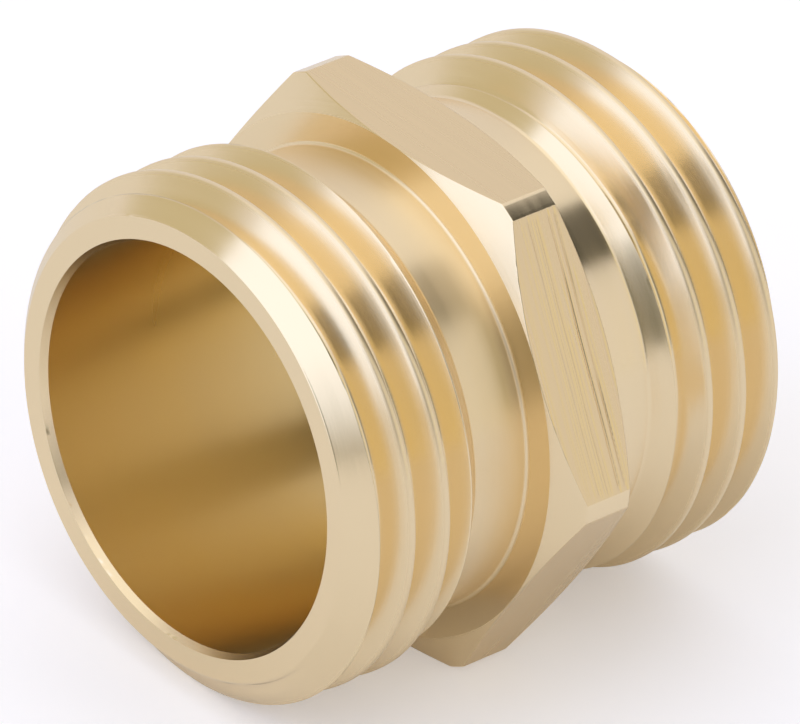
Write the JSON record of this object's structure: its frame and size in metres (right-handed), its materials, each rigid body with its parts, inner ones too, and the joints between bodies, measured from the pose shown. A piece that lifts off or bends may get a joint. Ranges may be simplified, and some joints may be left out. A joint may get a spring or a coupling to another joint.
{
  "type": "hex nipple",
  "caption": "Short straight pipe nipple: a male garden-hose thread at each end, a narrow hexagon in the middle and a wide through bore.",
  "frame": {"origin": "on the bore's axis, half-way along the fitting, which is also the bounding box centre", "axes": "+Y along the bore, from the first threaded end to the second; +Z out of one flat of the hexagon; +X across two corners of the hexagon"},
  "size_m": [0.0306, 0.0282, 0.027],
  "materials": {
    "brass": "bare machined yellow brass with a satin sheen: fine turning marks on the necks and rings, tangential milling marks on the flats, a hazier drilled bore"
  },
  "bodies": {
    "root": {"nipple_body": "brass"}
  },
  "joints": []
}
